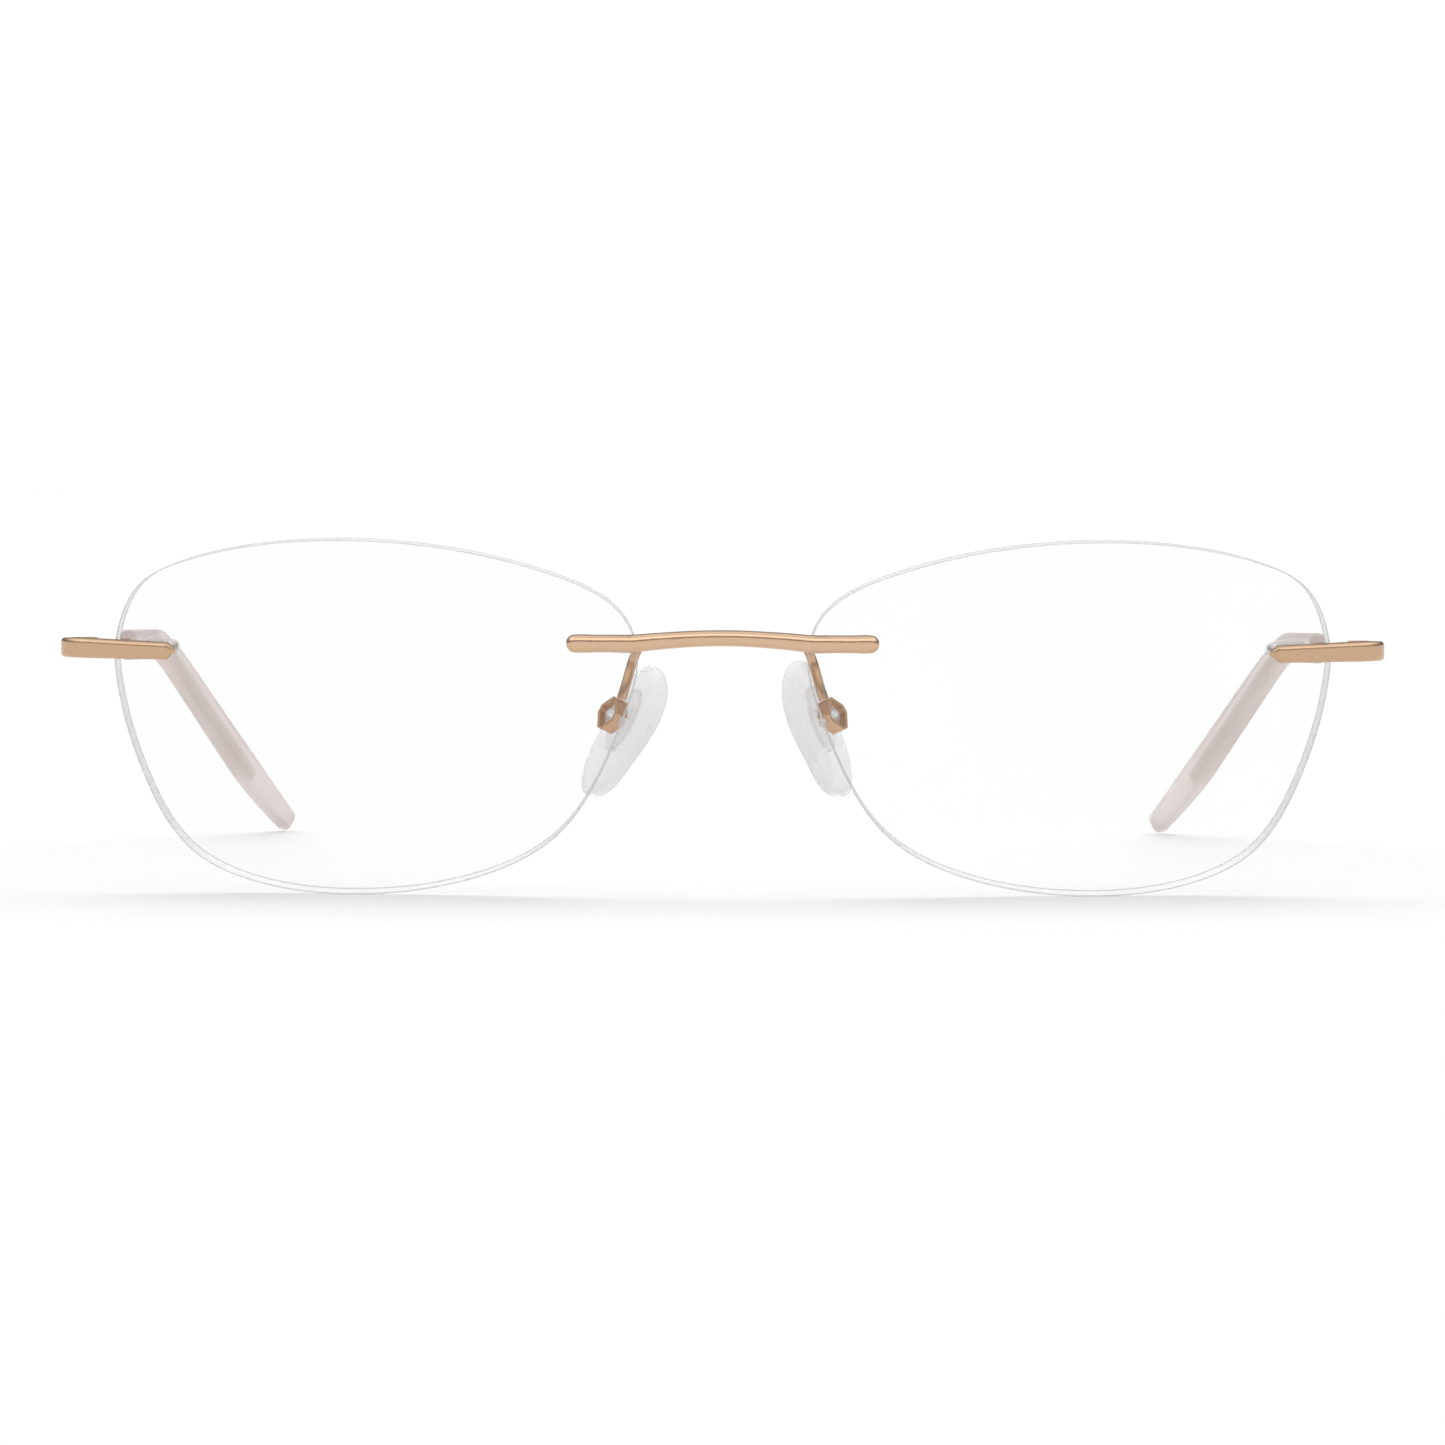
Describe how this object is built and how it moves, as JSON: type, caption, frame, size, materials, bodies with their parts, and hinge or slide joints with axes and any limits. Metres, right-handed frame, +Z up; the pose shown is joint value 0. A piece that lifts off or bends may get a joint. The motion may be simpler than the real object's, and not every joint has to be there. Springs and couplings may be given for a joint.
{
  "type": "rimless eyeglasses",
  "caption": "Rimless eyeglasses, open: clear drilled lenses on a slim bridge bar and endpieces, rocking nose pads, folding temples with frosted plastic tips.",
  "frame": {"origin": "on the table plane, under the middle of the open glasses' bounding box", "axes": "+Z up, the wearer looks along -Y, the temples run back along +Y, +X is the wearer's left"},
  "size_m": [0.138, 0.1498, 0.0372],
  "materials": {
    "lens": "polished",
    "clear_plastic": "gloss",
    "rose_gold_metal": "satin",
    "screw_steel": "satin",
    "tip_plastic": "satin",
    "pad_core_plastic": "gloss",
    "pad_silicone": "satin"
  },
  "bodies": {
    "front": {"bridge_bar": "rose_gold_metal", "bridge_pins": "rose_gold_metal", "left_lens": "lens", "left_temporal_bushing": "clear_plastic", "left_nasal_bushing": "clear_plastic", "left_endpiece": "rose_gold_metal", "left_endpiece_pins": "rose_gold_metal", "left_hinge_front": "rose_gold_metal", "left_pad_box": "rose_gold_metal", "left_pad_arm": "rose_gold_metal", "right_lens": "lens", "right_temporal_bushing": "clear_plastic", "right_nasal_bushing": "clear_plastic", "right_endpiece": "rose_gold_metal", "right_endpiece_pins": "rose_gold_metal", "right_hinge_front": "rose_gold_metal", "right_pad_box": "rose_gold_metal", "right_pad_arm": "rose_gold_metal"},
    "left_temple": {"left_temple_arm": "rose_gold_metal", "left_temple_tip": "tip_plastic", "left_hinge_rear": "rose_gold_metal", "left_hinge_screw": "screw_steel"},
    "left_pad": {"left_nose_pad": "pad_silicone", "left_pad_core": "pad_core_plastic"},
    "right_temple": {"right_temple_arm": "rose_gold_metal", "right_temple_tip": "tip_plastic", "right_hinge_rear": "rose_gold_metal", "right_hinge_screw": "screw_steel"},
    "right_pad": {"right_nose_pad": "pad_silicone", "right_pad_core": "pad_core_plastic"}
  },
  "joints": [
    {"name": "left_temple_fold", "type": "hinge", "parent": "front", "child": "left_temple", "pos_m": [0.06657, -0.05816, 0.02556], "axis": [-0.0004, 0.0188, 0.9998], "range_deg": [0, 85]},
    {"name": "right_temple_fold", "type": "hinge", "parent": "front", "child": "right_temple", "pos_m": [-0.06657, -0.05816, 0.02556], "axis": [-0.0004, -0.0188, -0.9998], "range_deg": [0, 74]},
    {"name": "left_pad_rock", "type": "hinge", "parent": "front", "child": "left_pad", "pos_m": [0.01116, -0.06519, 0.01868], "axis": [0.5469, 0.7745, 0.3178], "range_deg": [-18, 0]},
    {"name": "right_pad_rock", "type": "hinge", "parent": "front", "child": "right_pad", "pos_m": [-0.01116, -0.06519, 0.01868], "axis": [0.5469, -0.7745, -0.3178], "range_deg": [-7, 11]}
  ]
}
